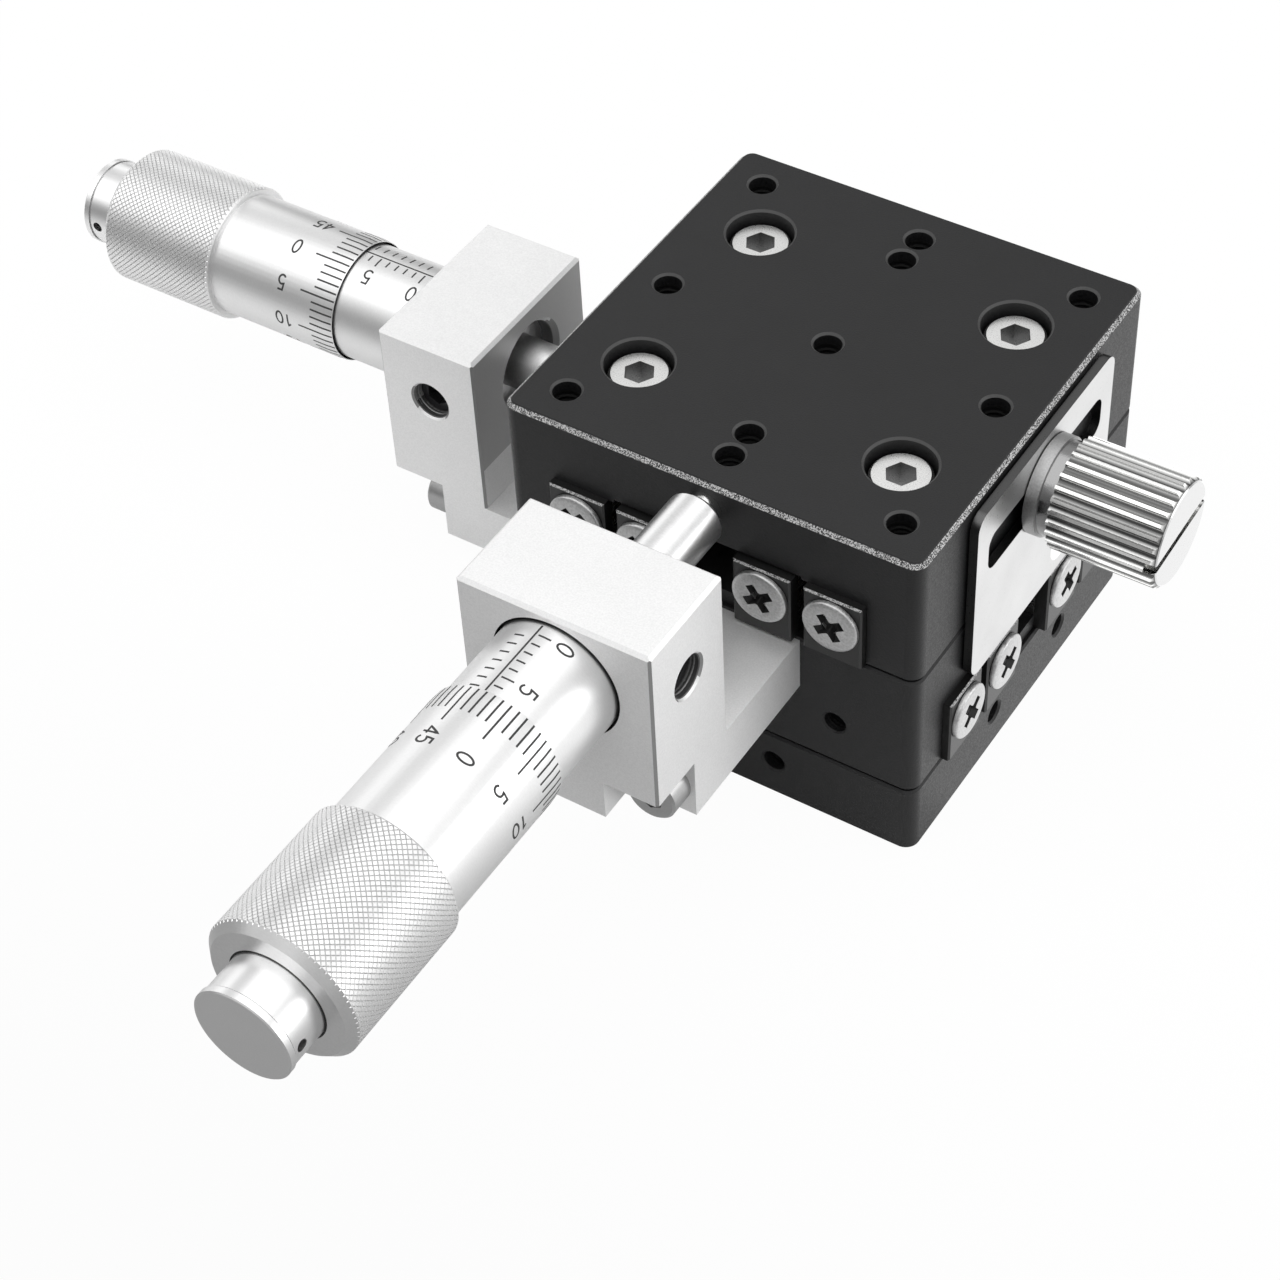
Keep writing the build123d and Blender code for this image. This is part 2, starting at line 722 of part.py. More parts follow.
def clamp_knob():
    """The fluted knob with its neck and stud, about the +X direction."""
    foot = plate_front + washer_gap + washer_thickness
    neck_end = foot + neck_length
    tip = half_side - stud_hole_end + stud_tip_gap
    face = neck_end + knob_length
    knob = turned([(tip, 0), (tip, stud_radius), (foot, stud_radius), (foot, neck_radius),
                   (neck_end, neck_radius), (neck_end, knob_radius), (face - knob_chamfer, knob_radius),
                   (face, knob_radius - knob_chamfer), (face, 0)], around_y=False)
    ring = PolarLocations(knob_radius + flute_standoff, flute_count)
    flutes = [place * Pos(0, 0, neck_end + knob_length / 2) * Cylinder(flute_radius, knob_length + 1)
              for place in ring]
    knob = knob - Compound(flutes)
    slot = Box(2 * knob_radius + 1, knob_slot_width, knob_slot_depth)
    knob = knob - Rot(0, 0, knob_slot_turn) * Pos(0, 0, face - knob_slot_depth / 2) * slot
    return Plane(origin=(0, 0, slot_z), x_dir=(0, 1, 0), z_dir=(1, 0, 0)).location * knob


def make_clamp(name, place, turn):
    """One clamp: plate, screws, washer and knob."""
    nodes[name + "_clamp_plate"] = place * turn * clamp_plate()
    nodes[name + "_clamp_plate_screws"] = group(
        [place * turn * placed(countersunk_screw(), (plate_front, y, plate_screw_z), (1, 0, 0))
         for y in plate_screw_ys])
    start = plate_front + washer_gap
    washer = turned([(start, stud_radius + fit_gap), (start, washer_radius),
                     (start + washer_thickness, washer_radius),
                     (start + washer_thickness, stud_radius + fit_gap)], around_y=False)
    side = Plane(origin=(0, 0, slot_z), x_dir=(0, 1, 0), z_dir=(1, 0, 0)).location
    nodes[name + "_clamp_washer"] = place * turn * side * washer
    nodes[name + "_clamp_knob"] = place * turn * clamp_knob()


# Return springs and the anvils that the spindles push on
def spring():
    """An extension spring, closely wound, with a loop at each end."""
    half = pin_y - loop_radius
    body = rod((0, -half, spring_z), (0, 1, 0), 2 * half, spring_radius)
    body = body - rod((0, -half + spring_wire, spring_z), (0, 1, 0), 2 * (half - spring_wire),
                      spring_radius - spring_wire)
    for end in (-1, 1):
        body = body + Pos(0, end * pin_y, spring_z) * Torus(loop_radius, spring_wire / 2)
    return body


def make_returns(name, place):
    """The return spring of one slide, its two pins and the anvil."""
    nodes[name + "_return_spring"] = place * spring()
    nodes[name + "_spring_anchor_pin"] = place * rod((0, -pin_y, rail_bottom - pin_depth), (0, 0, 1),
                                                     pin_depth + pin_standing, pin_radius)
    nodes[name + "_spring_pull_pin"] = place * rod((0, pin_y, ceiling + relief_depth + pin_depth), (0, 0, -1),
                                                   pin_depth + pin_standing, pin_radius)
    nodes[name + "_anvil"] = place * rod((0, -half_side - anvil_standing, axis_z), (0, 1, 0),
                                         anvil_standing + anvil_length, anvil_radius)


make_plates()
for slide_name, slide_place, slide_turn in (("upper", Pos(0, 0, 0), Pos(0, 0, 0)),
                                            ("lower", lower_place, half_turn)):
    make_guide(slide_name, slide_place, slide_turn)
    make_clamp(slide_name, slide_place, slide_turn)
    make_returns(slide_name, slide_place)
make_micrometer("front", Pos(0, 0, 0))
make_micrometer("left", lower_place)

os.makedirs("parts", exist_ok=True)
for node_name, shape in nodes.items():
    export_step(shape, "parts/" + node_name + ".step")
print(len(nodes), "nodes")
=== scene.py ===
import math

import bmesh
import bpy
from mathutils import Matrix, Vector


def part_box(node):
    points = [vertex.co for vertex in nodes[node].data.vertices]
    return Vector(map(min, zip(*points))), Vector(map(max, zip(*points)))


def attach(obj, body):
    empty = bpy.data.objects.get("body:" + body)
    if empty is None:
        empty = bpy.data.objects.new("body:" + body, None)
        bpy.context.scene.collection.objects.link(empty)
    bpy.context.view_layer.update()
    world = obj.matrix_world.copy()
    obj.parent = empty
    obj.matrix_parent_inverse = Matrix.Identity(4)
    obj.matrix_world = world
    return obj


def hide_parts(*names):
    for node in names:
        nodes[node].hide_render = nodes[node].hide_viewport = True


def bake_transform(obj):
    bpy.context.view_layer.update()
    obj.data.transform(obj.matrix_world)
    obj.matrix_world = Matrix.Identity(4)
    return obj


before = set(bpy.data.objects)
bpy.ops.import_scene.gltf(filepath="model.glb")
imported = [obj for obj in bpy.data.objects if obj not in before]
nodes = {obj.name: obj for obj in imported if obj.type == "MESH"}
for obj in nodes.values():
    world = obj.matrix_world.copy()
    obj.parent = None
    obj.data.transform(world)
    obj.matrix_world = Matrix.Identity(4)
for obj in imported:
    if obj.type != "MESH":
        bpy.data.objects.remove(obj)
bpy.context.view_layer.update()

# Studio. The stage stands on a plain white table under a large overhead softbox, with smaller
# ones on its right, at its back left and at its front left. The camera looks down on the corner
# between the two micrometers through a long lens.
mm = 0.001
camera_azimuth = math.radians(34.907)
camera_elevation = math.radians(46.141)
camera_roll = math.radians(-3.408)
camera_distance = 0.246116
camera_target = Vector((-0.00039, -0.029831, 0.024839))

look_back = Vector((math.sin(camera_azimuth) * math.cos(camera_elevation),
                    -math.cos(camera_azimuth) * math.cos(camera_elevation),
                    math.sin(camera_elevation)))
level_right = Vector((math.cos(camera_azimuth), math.sin(camera_azimuth), 0))
level_up = look_back.cross(level_right)
view_right = math.cos(camera_roll) * level_right + math.sin(camera_roll) * level_up
view_up = math.cos(camera_roll) * level_up - math.sin(camera_roll) * level_right
camera_data = bpy.data.cameras.new("camera")
camera_data.sensor_width = 36
camera_data.lens = 84.957
camera_data.clip_start = 0.005
camera = bpy.data.objects.new("camera", camera_data)
bpy.context.collection.objects.link(camera)
camera.matrix_world = Matrix((view_right, view_up, look_back)).transposed().to_4x4()
camera.location = camera_target + look_back * camera_distance
bpy.context.scene.camera = camera
bpy.context.scene.view_settings.view_transform = "Standard"

lamp_target = Vector((0, 0, 0.02))


def softbox(name, place, width, height, brightness):
    """A rectangular lamp that faces the stage."""
    data = bpy.data.lights.new(name, "AREA")
    data.shape = "RECTANGLE"
    data.size, data.size_y = width, height
    data.energy = brightness * math.pi * width * height
    lamp = bpy.data.objects.new(name, data)
    bpy.context.collection.objects.link(lamp)
    lamp.location = place
    lamp.rotation_euler = (lamp_target - Vector(place)).to_track_quat("-Z", "Y").to_euler()


softbox("overhead_softbox", (0.05, -0.05, 0.6), width=1.2, height=1.0, brightness=0.95)
softbox("right_softbox", (0.7, 0.35, 0.15), width=0.7, height=0.4, brightness=1.9)
softbox("left_softbox", (-0.72, 0.45, 0.26), width=0.6, height=0.45, brightness=0.9)
softbox("front_left_softbox", (-0.55, -0.3, 0.4), width=0.4, height=0.4, brightness=1.0)


def feed(tree, socket, value):
    """Give a node's socket a value or another node's output."""
    if isinstance(value, bpy.types.NodeSocket):
        tree.links.new(value, socket)
    else:
        socket.default_value = value


def new_node(tree, kind, operation=None, **inputs):
    """A node with its inputs fed. The name of an input is written with _ for a blank."""
    node = tree.nodes.new("ShaderNode" + kind)
    if operation:
        node.operation = operation
    for name, value in inputs.items():
        feed(tree, node.inputs[name.replace("_", " ")], value)
    return node


def maths(tree, operation, *values):
    """One step of arithmetic on values or other nodes' outputs."""
    node = new_node(tree, "Math", operation)
    for socket, value in zip(node.inputs, values):
        feed(tree, socket, value)
    return node.outputs[0]


def product(tree, first, *others):
    """Several values multiplied, so 1 only where all of them are 1."""
    for value in others:
        first = maths(tree, "MULTIPLY", first, value)
    return first


def ramp(tree, value, start, end, low, high):
    """Turn a value between start and end into one between low and high."""
    return new_node(tree, "MapRange", Value=value, From_Min=start, From_Max=end, To_Min=low,
                    To_Max=high).outputs[0]


def where(tree):
    """The place of a spot on a piece, in mm, as three outputs."""
    place = new_node(tree, "TexCoord").outputs["Object"]
    larger = new_node(tree, "VectorMath", "SCALE", Vector=place, Scale=1 / mm)
    return new_node(tree, "SeparateXYZ", Vector=larger.outputs[0]).outputs


def end_in_blend(tree, output, share, first, second):
    """End a tree in two shaders, blended by a share."""
    mix = tree.nodes.new("ShaderNodeMixShader")
    for socket, source in zip(mix.inputs, (share, first.outputs[0], second.outputs[0])):
        feed(tree, socket, source)
    feed(tree, tree.nodes.new(output).inputs[0], mix.outputs[0])


world = bpy.data.worlds.new("studio")
bpy.context.scene.world = world
world.use_nodes = True
sky = world.node_tree
sky.nodes.clear()
sky_way = new_node(sky, "SeparateXYZ", Vector=new_node(sky, "TexCoord").outputs["Generated"]).outputs
upper_sky = ramp(sky, sky_way["Z"], start=0.1, end=0.5, low=0.3, high=0.72)
right_sky = ramp(sky, sky_way["X"], start=0.3, end=0.9, low=0.3, high=1.0)
sky_light = new_node(sky, "Background", Color=maths(sky, "MAXIMUM", upper_sky, right_sky))
sky_white = new_node(sky, "Background", Color=(1, 1, 1, 1))
end_in_blend(sky, "ShaderNodeOutputWorld", new_node(sky, "LightPath").outputs["Is Camera Ray"],
             sky_light, sky_white)

floor_half = 3.0
floor_drop = 0.0001
floor_whiteness = 0.96
painted_reflection_brightness = 1.35
floor_mesh = bpy.data.meshes.new("white_table")
floor_mesh.from_pydata([(x * floor_half, y * floor_half, -floor_drop)
                        for x, y in ((-1, -1), (1, -1), (1, 1), (-1, 1))], [], [(0, 1, 2, 3)])
floor = bpy.data.objects.new("white_table", floor_mesh)
bpy.context.collection.objects.link(floor)
floor_material = bpy.data.materials.new("white_table")
floor_material.use_nodes = True
tree = floor_material.node_tree
tree.nodes.clear()
floor_x, floor_y, _ = where(tree)
# Painted shade: the table's matt colour darkens towards the front, which bounced light and polished metal
# show.
floor_matt = new_node(tree, "BsdfDiffuse", Color=ramp(tree, floor_y, start=-80, end=-20, low=0.3, high=0.8))
ray = new_node(tree, "LightPath").outputs
# A patch of the table at the right of the stage glows for glossy rays only: a painted reflection of a bright
# card, mirrored by polished metal and never seen by the camera
painted_reflection_patch = product(tree, ramp(tree, floor_x, start=12, end=20, low=0, high=1),
               ramp(tree, floor_x, start=55, end=80, low=1, high=0),
               ramp(tree, floor_y, start=-22, end=-12, low=0, high=1), ray["Is Glossy Ray"])
seen = maths(tree, "MAXIMUM", ray["Is Camera Ray"], ray["Is Transmission Ray"])
floor_glow = new_node(tree, "Emission", Strength=ramp(tree, painted_reflection_patch, 0, 1, 1, painted_reflection_brightness))
end_in_blend(tree, "ShaderNodeOutputMaterial",
             maths(tree, "MAXIMUM", painted_reflection_patch, maths(tree, "MULTIPLY", seen, floor_whiteness)),
             floor_matt, floor_glow)
floor_mesh.materials.append(floor_material)

# Base, carriage and table. Three milled aluminium plates, bead blasted and black anodised. The
# anodising is finely speckled. On the table, the mouths of the holes are painted lighter as a
# highlight, and the broken edges carry speckled wear that is painted lighter, partly as a
# highlight. The tapped holes have cut threads.
cloud_size = 5


def finish(name, colour, roughness, metallic=0.0, grain=0.12, stretch=(1, 1, 1), shade=0.1, gloss=0.06,
           relief=0.05, cloud=0.05, ior=1.5):
    """A metal or plastic finish: grain of a size in mm, stretched along an axis, over soft clouding."""
    material = bpy.data.materials.new(name)
    material.use_nodes = True
    tree = material.node_tree
    shader = tree.nodes["Principled BSDF"].inputs
    shader["Metallic"].default_value = metallic
    shader["IOR"].default_value = ior
    place = new_node(tree, "TexCoord").outputs["Object"]
    stretched = new_node(tree, "Mapping", Vector=place, Scale=stretch).outputs[0]
    grains = new_node(tree, "TexNoise", Vector=stretched, Scale=1 / (grain * mm), Detail=2).outputs[0]
    clouds = new_node(tree, "TexNoise", Vector=place, Scale=1 / (cloud_size * mm), Detail=3).outputs[0]
    shades = tree.nodes.new("ShaderNodeValToRGB")
    for element, position, change in zip(shades.color_ramp.elements, (0.3, 0.7), (-shade, shade)):
        element.position = position
        element.color = (*[min(part * (1 + change), 1) for part in colour], 1)
    feed(tree, shades.inputs[0], grains)
    veil = ramp(tree, clouds, 0.3, 0.7, 1 - cloud, 1 + cloud)
    tint = new_node(tree, "VectorMath", "SCALE", Vector=shades.outputs[0], Scale=veil)
    feed(tree, shader["Base Color"], tint.outputs[0])
    feed(tree, shader["Roughness"], ramp(tree, grains, 0.3, 0.7, roughness - gloss, roughness + gloss))
    bump = new_node(tree, "Bump", Strength=relief, Distance=grain * mm, Height=grains)
    feed(tree, shader["Normal"], bump.outputs[0])
    return material


def tint_part(material, share, grey):
    """Blend a part of a material towards a grey."""
    tree = material.node_tree
    base = tree.nodes["Principled BSDF"].inputs["Base Color"]
    mix = tree.nodes.new("ShaderNodeMix")
    mix.data_type = "RGBA"
    feed(tree, mix.inputs["Factor"], share)
    feed(tree, mix.inputs["A"], base.links[0].from_socket)
    feed(tree, mix.inputs["B"], (grey, grey, grey, 1))
    feed(tree, base, mix.outputs["Result"])


def facing(tree):
    """The way that a face looks, as the three parts of its flat normal."""
    return new_node(tree, "SeparateXYZ", Vector=new_node(tree, "NewGeometry").outputs["True Normal"]).outputs


def size_near(tree, value, middle, spread):
    """1 where a value, with or without its minus, lies near a middle one."""
    return maths(tree, "COMPARE", maths(tree, "ABSOLUTE", value), middle, spread)


def speckle(tree, size, low, high):
    """Specks of a size in mm, as a value that runs from 0 to 1."""
    place = new_node(tree, "TexCoord").outputs["Object"]
    grains = new_node(tree, "TexNoise", Vector=place, Scale=1 / (size * mm), Detail=1)
    return ramp(tree, grains.outputs[0], low, high, 0, 1)


def dress(material, *names):
    """Give CAD pieces their finish."""
    for name in names:
        mesh = nodes[name].data
        mesh.materials.clear()
        mesh.materials.append(material)


table_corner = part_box("table_plate")[1]
stage_half = table_corner[0] / mm
stack_height = table_corner[2] / mm
layer_pitch = 13.55
rim_band = 0.8
rim_drop = 0.27
rim_spread = 0.17
mouth_drop = 0.25
edge_lean = 0.65
black_anodised, black_table = [
    finish(name, colour=(0.0075, 0.0075, 0.008), roughness=0.48, grain=0.15, shade=0.5, gloss=0.1,
           relief=0.14, cloud=0.08, ior=1.4)
    for name in ("black_anodised_aluminium", "black_anodised_table")
]
hole_black = finish("black_anodised_threads", colour=(0.004, 0.004, 0.004), roughness=0.6, grain=0.08,
                    shade=0.2, ior=1.3)
tree = black_table.node_tree
spot_x, spot_y, spot_z = where(tree)
from_middle = maths(tree, "MAXIMUM", maths(tree, "ABSOLUTE", spot_x), maths(tree, "ABSOLUTE", spot_y))
leaning = size_near(tree, facing(tree)["Z"], edge_lean, 0.3)
mouths = product(tree, maths(tree, "LESS_THAN", from_middle, stage_half - rim_band),
                 maths(tree, "GREATER_THAN", spot_z, stack_height - mouth_drop), leaning)
rim = product(tree, maths(tree, "GREATER_THAN", from_middle, stage_half - rim_band), leaning,
              maths(tree, "COMPARE", spot_z, stack_height - rim_drop, rim_spread),
              speckle(tree, size=0.1, low=0.42, high=0.6))
# Painted highlight: the chamfered mouths of the holes are painted lighter.
tint_part(black_table, mouths, grey=0.05)
# Speckled wear along the broken top edges, painted lighter, partly as a highlight.
tint_part(black_table, rim, grey=0.5)
dress(black_anodised, "base_plate", "carriage_block")
dress(black_table, "table_plate")

lower_place = Matrix.Translation((0, 0, -layer_pitch * mm)) @ Matrix.Rotation(-math.pi / 2, 4, "Z")
level = Matrix.Identity(4)
half_turn = Matrix.Rotation(math.pi, 4, "Z")
crease_angle = math.radians(32)


def new_piece(name, corners, faces, body, material, place=level):
    """A mesh piece from corners in mm, smooth but for its sharp edges, riding on a body."""
    mesh = bpy.data.meshes.new(name)
    mesh.from_pydata([Vector(corner) * mm for corner in corners], [], faces)
    mesh.transform(place)
    shell = bmesh.new()
    shell.from_mesh(mesh)
    bmesh.ops.recalc_face_normals(shell, faces=shell.faces)
    shell.to_mesh(mesh)
    shell.free()
    mesh.polygons.foreach_set("use_smooth", [True] * len(mesh.polygons))
    mesh.set_sharp_from_angle(angle=crease_angle)
    mesh.materials.append(material)
    piece = bpy.data.objects.new(name, mesh)
    bpy.context.collection.objects.link(piece)
    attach(piece, body)
    return piece


def band(near, far, count):
    """The faces between two rings of corners, from the number of the first corner of each."""
    return [(near + column, near + (column + 1) % count, far + (column + 1) % count, far + column)
            for column in range(count)]


thread_steps = 28
crest_share = 0.07
root_share = 0.42
ridge_share = 0.2
wall_overlap = 0.02


def thread_ridge(corners, faces, mouth, inward, radius, pitch, start, end):
    """Add the helical ridge of a tapped hole, standing inwards from the wall of its bore."""
    axis = Vector(inward).normalized()
    across = axis.orthogonal().normalized()
    other = axis.cross(across)
    count = int((end - start - pitch) / pitch * thread_steps)
    ridge = ((wall_overlap, -root_share), (-ridge_share * pitch, -crest_share),
             (-ridge_share * pitch, crest_share), (wall_overlap, root_share))
    first = len(corners)
    for step in range(count + 1):
        angle = 2 * math.pi * step / thread_steps
        out = math.cos(angle) * across + math.sin(angle) * other
        depth = start + pitch / 2 + pitch * step / thread_steps
        fade = min(1, step / thread_steps, (count - step) / thread_steps)
        for rise, shift in ridge:
            reach = radius + (rise * fade if rise < 0 else rise)
            corners.append(Vector(mouth) + axis * (depth + shift * pitch) + out * reach)
    for step in range(count):
        faces += band(first + 4 * step, first + 4 * (step + 1), 4)
    last = first + 4 * count
    faces += [tuple(range(first + 3, first - 1, -1)), tuple(range(last, last + 4))]


def tapped_threads(name, mouths, radius, pitch, start, end, body, material=hole_black,
                   place=level):
    """The threads of like holes as one piece. A mouth is its middle and the way into the hole."""
    corners, faces = [], []
    for mouth, inward in mouths:
        thread_ridge(corners, faces, mouth, inward, radius, pitch, start, end)
    return new_piece(name, corners, faces, body, material, place)


hole_pitch = 16.0
sides = (-1, 1)
inner_hole_y = 12.9
side_hole_z = 4.0
front_holes = (-6.15, 6.15)
right_holes = (-5.05, 7.25)
table_holes = [(column * hole_pitch, row * hole_pitch) for column in (-1, 0, 1) for row in (-1, 0, 1)]
table_holes += [(0, -inner_hole_y), (0, inner_hole_y)]
tapped_threads("table_hole_threads", [((x, y, stack_height), (0, 0, -1)) for x, y in table_holes],
               radius=1.25, pitch=0.5, start=0.9, end=4.4, body="table_unit")
tapped_threads("base_hole_threads",
               [((x * hole_pitch, y * hole_pitch, 0), (0, 0, 1)) for x in sides for y in sides],
               radius=1.25, pitch=0.5, start=0.25, end=4.9, body="base_unit")
tapped_threads("base_side_hole_threads",
               [((offset, -stage_half, side_hole_z), (0, 1, 0)) for offset in front_holes]
               + [((stage_half, offset, side_hole_z), (-1, 0, 0)) for offset in right_holes],
               radius=1.05, pitch=0.45, start=0.7, end=5.4, body="base_unit")

# Crossed-roller guides. Hardened steel rails, ground along their length, carry rollers in thin
# brass cages. Black socket screws hold the inner rails down, inside the slide.
ground_across, ground_along = [
    finish(name, colour=(0.5, 0.5, 0.49), roughness=0.3, metallic=1.0, grain=0.08, stretch=stretch,
           shade=0.12, relief=0.05)
    for name, stretch in (("ground_rail_steel_y", (1, 0.04, 1)), ("ground_rail_steel_x", (0.04, 1, 1)))
]
roller_steel = finish("roller_steel", colour=(0.66, 0.66, 0.65), roughness=0.15, metallic=1.0, grain=0.05,
                      shade=0.05, gloss=0.03)
cage_brass = finish("rolled_brass", colour=(0.6, 0.43, 0.17), roughness=0.35, metallic=1.0, grain=0.1,
                    stretch=(1, 1, 0.2), shade=0.12)
black_oxide = finish("black_oxide_steel", colour=(0.03, 0.03, 0.032), roughness=0.38, metallic=0.6,
                     grain=0.12, shade=0.25)
dress(ground_across, "upper_inner_rails", "upper_outer_rails")
dress(ground_along, "lower_inner_rails", "lower_outer_rails")
dress(roller_steel, "upper_rollers", "lower_rollers")
dress(cage_brass, "upper_roller_cages", "lower_roller_cages")
dress(black_oxide, "upper_inner_rail_screws", "lower_inner_rail_screws")

# Rail screws. Bright nickelled socket cap screws in deep counterbores bolt the outer rails up to
# the plate that travels. Their heads are turned and softly polished, and on the upper screws the
# sockets are painted darker as shade.
bright_screw = finish("nickelled_screw_steel", colour=(0.8, 0.8, 0.79), roughness=0.28, metallic=1.0,
                      grain=0.12, shade=0.06, gloss=0.05, relief=0.02)
socket_screw = finish("nickelled_socket_screws", colour=(0.86, 0.86, 0.85), roughness=0.3, metallic=1.0,
                      grain=0.12, shade=0.05, gloss=0.04, relief=0.02)
rail_screw_x = 12.65
rail_screw_y = 10.0
head_top = 33.35
socket_radius = 1.5


def distance(tree, across, along):
    """How far a spot is from an axis, from its two offsets."""
    squares = maths(tree, "ADD", product(tree, across, across), product(tree, along, along))
    return maths(tree, "SQRT", squares)


tree = socket_screw.node_tree
spot_x, spot_y, spot_z = where(tree)
off_screw = distance(tree, maths(tree, "SUBTRACT", maths(tree, "ABSOLUTE", spot_x), rail_screw_x),
                     maths(tree, "SUBTRACT", maths(tree, "ABSOLUTE", spot_y), rail_screw_y))
socket_shade = product(tree, maths(tree, "LESS_THAN", off_screw, socket_radius),
                    maths(tree, "LESS_THAN", spot_z, head_top - 0.02))
# Painted shade: the sockets of the upper rail screws are painted darker.
tint_part(socket_screw, socket_shade, grey=0.32)
dress(socket_screw, "upper_outer_rail_screws")
dress(bright_screw, "lower_outer_rail_screws")

# End plates. Small black blocks screwed to the ends of the rails, where they stop the roller
# cages. Each is held by one cross-recess pan-head screw with a softly domed, nickelled head.
end_plate_black = finish("black_end_plate", colour=(0.008, 0.008, 0.008), roughness=0.38, grain=0.1,
                         shade=0.25, gloss=0.06, relief=0.05)
tree = end_plate_black.node_tree
# Speckled wear on the broken edges, painted lighter, partly as a highlight.
worn_and_highlit_edge = product(tree, size_near(tree, facing(tree)["Z"], edge_lean, 0.25),
                    speckle(tree, size=0.12, low=0.35, high=0.6))
tint_part(end_plate_black, worn_and_highlit_edge, grey=0.45)
dress(end_plate_black, "upper_inner_end_plates", "upper_outer_end_plates",
      "lower_inner_end_plates", "lower_outer_end_plates")

pan_steel = finish("satin_nickel_screw_heads", colour=(0.5, 0.5, 0.5), roughness=0.36, metallic=0.9,
                   grain=0.22, shade=0.16, gloss=0.06, relief=0.05)
# Painted shade for the deep faces of the screw recesses and of the thimbles' bores.
painted_recess_shade = finish("shaded_recess", colour=(0.03, 0.03, 0.03), roughness=0.5, metallic=0.5, grain=0.1,
                      shade=0.3)
rail_middle = 25.275
inner_rail_x = 5.7
outer_rail_x = 12.4
end_plate_face = 20.8
pan_radius = 2.58
pan_arm = 0.56 * pan_radius
pan_slot = 0.17 * pan_radius
pan_flare = 0.28 * pan_radius
pan_shank = ((0.7, -4.5), (0.95, -4.2), (0.95, 0))
pan_dome = ((0.1, 0), (0, 0.06), (0, 0.38), (0.05, 0.46), (0.16, 0.53), (0.4, 0.58), (0.8, 0.6))
pan_recess = ((1.05, 0.6), (1.0, 0.57), (0.94, 0.2), (0.6, -0.3))
screws_turned = (45, 62, 33, 52)


def recess_reach(angle):
    """How far a cross recess reaches in a direction: four square arms and a flared middle."""
    turn = abs((angle + math.pi / 4) % (math.pi / 2) - math.pi / 4)
    side = pan_slot / max(math.sin(turn), 1e-6)
    middle = pan_flare / math.cos(math.pi / 4 - turn)
    return min(pan_arm / math.cos(turn), max(side, middle))


def recess_angles():
    """Directions of a head's corners, with one at each corner of its recess."""
    corner = math.atan2(pan_slot, pan_arm)
    neck = math.asin(pan_slot / (pan_flare * math.sqrt(2)))
    quarter = sorted({0, corner / 2, corner, corner + 0.02, (corner + math.pi / 4) / 2, neck,
                      math.pi / 4 - 0.12, math.pi / 4})
    quarter += [math.pi / 2 - angle for angle in reversed(quarter[1:-1])]
    return [turn * math.pi / 2 + angle for turn in range(4) for angle in quarter]


def pan_head_screws(name, seats, body, place):
    """Cross-recess screws on their seats. A seat is (x, y, z, direction along Y)."""
    angles = recess_angles()
    count = len(angles)
    rings = [[(radius, height) for _ in angles] for radius, height in pan_shank]
    rings += [[(pan_radius - inset, height) for _ in angles] for inset, height in pan_dome]
    rings += [[(recess_reach(angle) * share, height) for angle in angles] for share, height in pan_recess]
    corners, faces, shaded = [], [], []
    for (x, y, z, way), turned in zip(seats, screws_turned):
        first = len(corners)
        for ring in rings:
            for (radius, height), angle in zip(ring, angles):
                angle += math.radians(turned)
                corners.append((x + radius * math.cos(angle), y + way * height,
                                z + radius * math.sin(angle)))
        faces.append(tuple(range(first, first + count)))
        for row in range(len(rings) - 1):
            faces += band(first + row * count, first + (row + 1) * count, count)
        faces.append(tuple(range(len(corners) - count, len(corners))))
        shaded += range(len(faces) - 1 - 2 * count, len(faces))
    screws = new_piece(name, corners, faces, body, pan_steel, place)
    # The recess's deepest faces take the painted shade.
    screws.data.materials.append(painted_recess_shade)
    for number in shaded:
        screws.data.polygons[number].material_index = 1
    return screws


slides = (("upper", level, "carriage_unit", "table_unit"),
          ("lower", lower_place, "base_unit", "carriage_unit"))
for slide, place, still, moving in slides:
    for rails, rail_x, body in (("inner", inner_rail_x, still), ("outer", outer_rail_x, moving)):
        seats = [(side * rail_x, way * end_plate_face, rail_middle, way)
                 for side in sides for way in sides]
        screws = pan_head_screws(slide + "_" + rails + "_pan_head_screws", seats, body, place)
        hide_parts(slide + "_" + rails + "_end_screws")

# Preload screws. Headless black screws in the side wall of the travelling plates push the outer
# rail towards the rollers. Only their tapped holes are seen.
dress(black_oxide, "upper_preload_screws", "lower_preload_screws")
preload_z = 25.975
preload_pitch = 12.25
preload_holes = [((-stage_half, y, preload_z), (1, 0, 0)) for y in (-preload_pitch, 0, preload_pitch)]
for slide, moving, place in (("upper", "table_unit", level),
                             ("lower", "carriage_unit", lower_place @ half_turn)):
    tapped_threads(slide + "_preload_threads", preload_holes, radius=1.05, pitch=0.4, start=0.25, end=1.5,
                   body=moving, place=place)

# Micrometer brackets. L-shaped blocks milled from aluminium, bead blasted and clear anodised.
# Two socket screws in their pockets bolt the foot to the stage, and a black set screw in the
# side clamps the micrometer. Painted shade darkens the mouth of the bore, the recess where the
# spindle leaves, the bore of the set screw and its threads, and the left block's inner face,
# towards the stage. The vertical corners are painted darker as a dark reflection.
pocket_screw = finish("plain_screw_steel", colour=(0.4, 0.4, 0.4), roughness=0.34, metallic=1.0, grain=0.12,
                      shade=0.06, gloss=0.05, relief=0.02)
